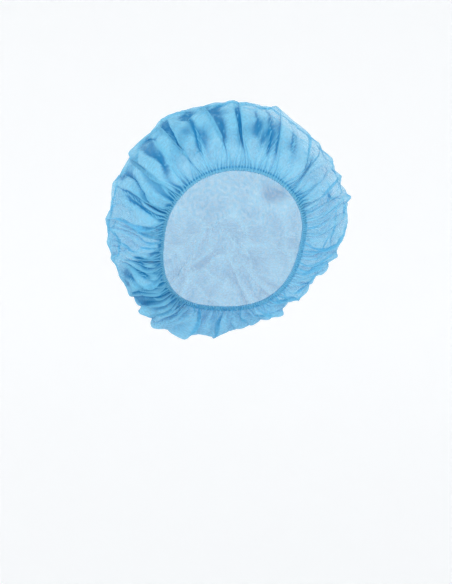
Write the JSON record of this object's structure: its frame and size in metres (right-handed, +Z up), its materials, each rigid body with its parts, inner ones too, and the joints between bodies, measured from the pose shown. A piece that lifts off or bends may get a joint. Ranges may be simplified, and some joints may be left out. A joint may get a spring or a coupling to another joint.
{
  "type": "disposable hairnet",
  "caption": "Bouffant cap of thin non-woven cloth, gathered onto an elastic in its folded hem, ballooning over the hair in the form it has when worn.",
  "frame": {"origin": "centre of the head opening, level with the middle between the hem on the forehead and the hem at the nape", "axes": "+X to the wearer's left, +Y to the back of the head, +Z up; the opening faces forward and down"},
  "size_m": [0.2468, 0.2189, 0.2382],
  "materials": {
    "nonwoven": "sheer spunbond non-woven, light blue, soft matt with a faint silky sheen",
    "elastic": "pale covered elastic, matt"
  },
  "bodies": {
    "root": {"crown": "nonwoven", "elastic": "elastic"}
  },
  "joints": []
}
